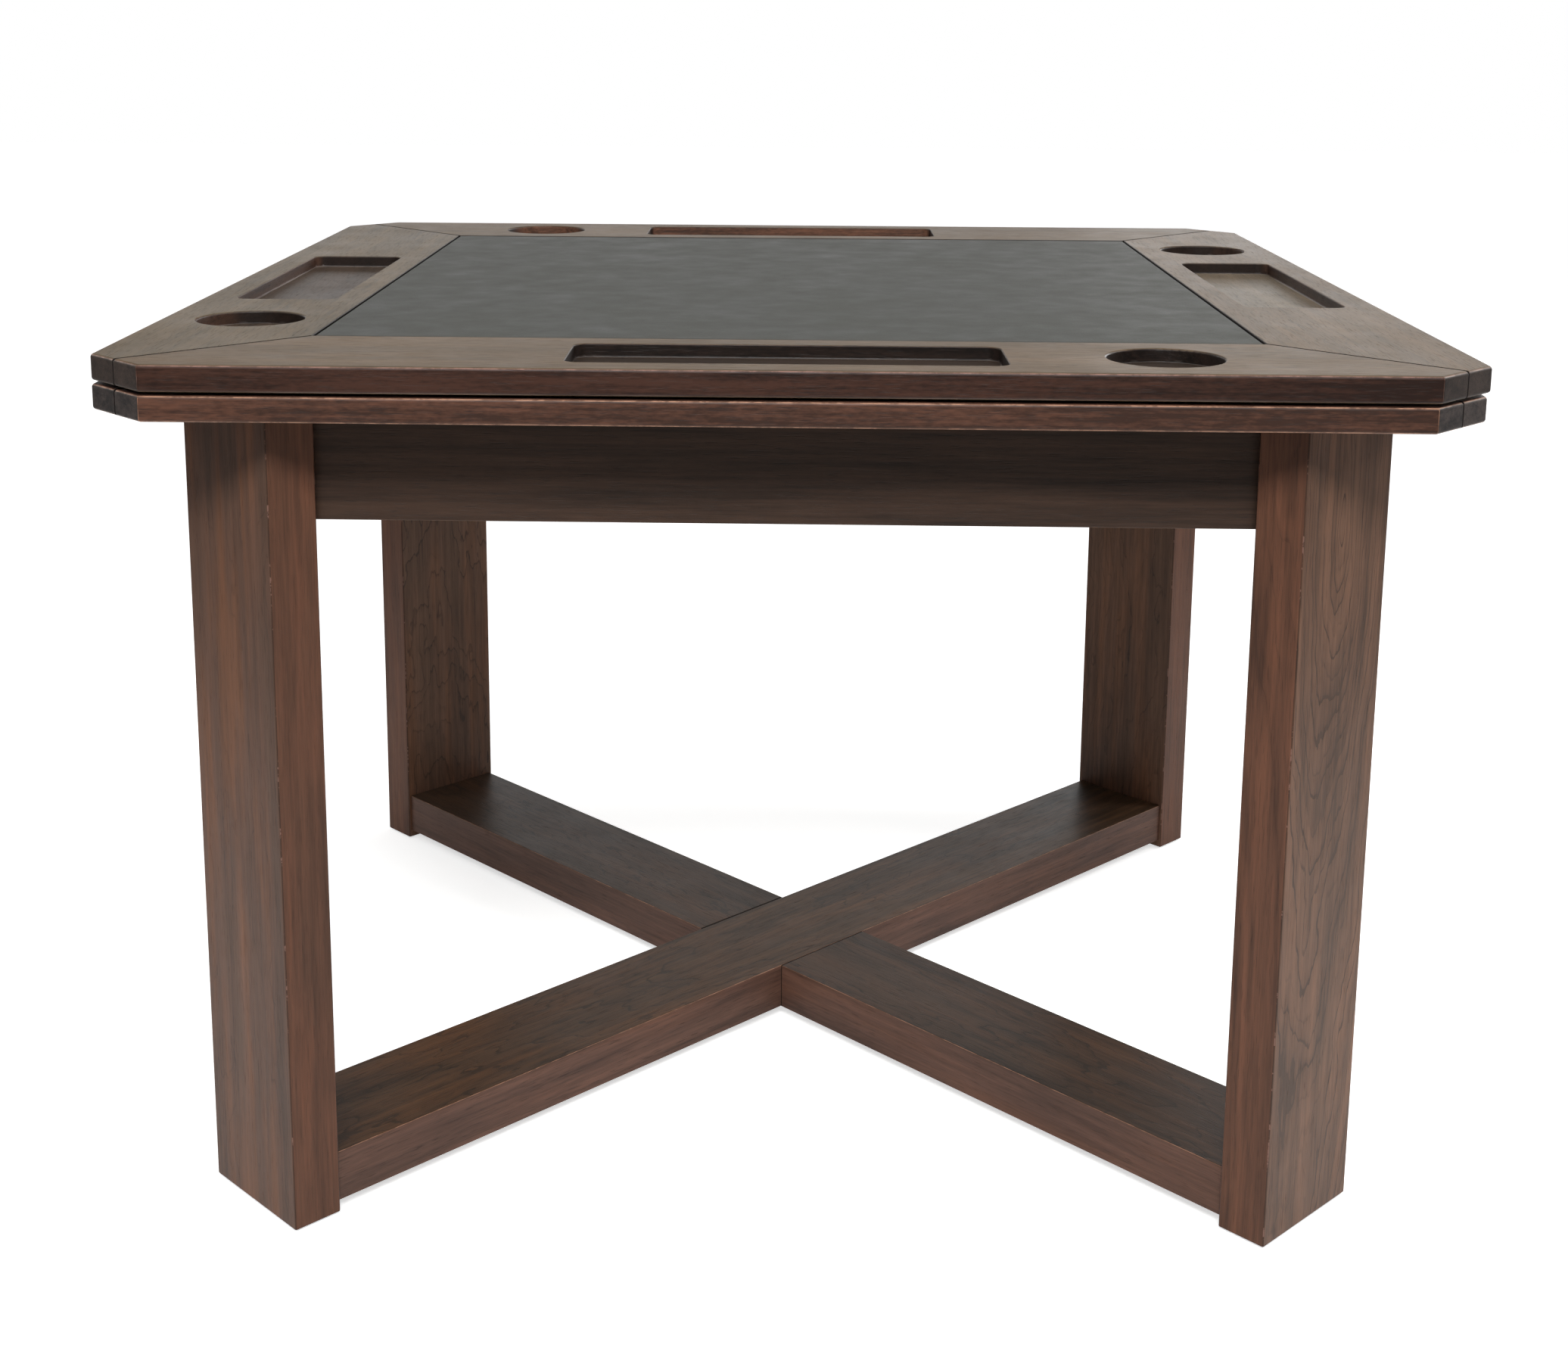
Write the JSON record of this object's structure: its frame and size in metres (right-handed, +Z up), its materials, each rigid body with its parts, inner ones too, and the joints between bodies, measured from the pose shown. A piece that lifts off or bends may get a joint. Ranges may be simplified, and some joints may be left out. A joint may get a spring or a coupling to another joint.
{
  "type": "gaming table",
  "caption": "Square gaming table with a loose reversible top on posts and crossed stretchers: leather playing surface, a chip tray and a cup well in each rail, adjustable feet.",
  "frame": {"origin": "on the floor under the middle of the table", "axes": "+Z up, -Y towards the front, +X to the right of someone who faces the table from the front"},
  "size_m": [1.1184, 1.118, 0.772],
  "materials": {
    "walnut_top": "satin walnut stain, greyish, rubbed through at the arrises",
    "walnut_frame": "satin walnut stain, reddish, rubbed through at the arrises",
    "walnut_apron": "satin dark walnut stain",
    "walnut_leg": "satin walnut stain with long open grain",
    "walnut_stretcher": "satin dark walnut stain with long open grain",
    "walnut_panel": "satin walnut veneer",
    "hidden_wood": "unfinished hardwood",
    "plywood": "unfinished plywood",
    "foam": "thin closed-cell foam",
    "leather": "charcoal leather, fine grain, soft sheen",
    "rubber": "matte black rubber",
    "nylon": "matte black nylon",
    "steel": "zinc-plated steel",
    "screw_steel": "yellow-passivated steel"
  },
  "bodies": {
    "base": {"apron_back": "walnut_apron", "apron_front": "walnut_apron", "apron_left": "walnut_apron", "apron_right": "walnut_apron", "block_screws": "screw_steel", "bumper_pads": "rubber", "corner_block_back_left": "hidden_wood", "corner_block_back_right": "hidden_wood", "corner_block_front_left": "hidden_wood", "corner_block_front_right": "hidden_wood", "foot_inserts": "steel", "frame_rail_back": "walnut_frame", "frame_rail_front": "walnut_frame", "frame_rail_left": "walnut_frame", "frame_rail_right": "walnut_frame", "frame_screws": "screw_steel", "frame_splines": "hidden_wood", "lap_screws": "screw_steel", "leg_back_left": "walnut_leg", "leg_back_right": "walnut_leg", "leg_bolts": "steel", "leg_front_left": "walnut_leg", "leg_front_right": "walnut_leg", "leg_nuts": "steel", "leg_washers": "steel", "stretcher_bolts": "steel", "stretcher_dowels": "hidden_wood", "stretcher_lower": "walnut_stretcher", "stretcher_nuts": "steel", "stretcher_upper": "walnut_stretcher", "stretcher_washers": "steel"},
    "game_top": {"top_rail_back": "walnut_top", "top_rail_front": "walnut_top", "top_rail_left": "walnut_top", "top_rail_right": "walnut_top", "top_splines": "hidden_wood", "dining_panel": "walnut_panel", "playing_board": "plywood", "foam_underlay": "foam", "playing_surface": "leather"},
    "foot_front_left": {"foot_pad_front_left": "nylon", "foot_stem_front_left": "steel"},
    "foot_front_right": {"foot_pad_front_right": "nylon", "foot_stem_front_right": "steel"},
    "foot_back_right": {"foot_pad_back_right": "nylon", "foot_stem_back_right": "steel"},
    "foot_back_left": {"foot_pad_back_left": "nylon", "foot_stem_back_left": "steel"}
  },
  "joints": [
    {"name": "top_lift", "type": "slide", "parent": "base", "child": "game_top", "axis": [0, 0, 1], "range_m": [0, 0.2]},
    {"name": "foot_screw_front_left", "type": "slide", "parent": "base", "child": "foot_front_left", "axis": [0, 0, -1], "range_m": [0, 0.01]},
    {"name": "foot_screw_front_right", "type": "slide", "parent": "base", "child": "foot_front_right", "axis": [0, 0, -1], "range_m": [0, 0.01]},
    {"name": "foot_screw_back_right", "type": "slide", "parent": "base", "child": "foot_back_right", "axis": [0, 0, -1], "range_m": [0, 0.01]},
    {"name": "foot_screw_back_left", "type": "slide", "parent": "base", "child": "foot_back_left", "axis": [0, 0, -1], "range_m": [0, 0.01]}
  ]
}
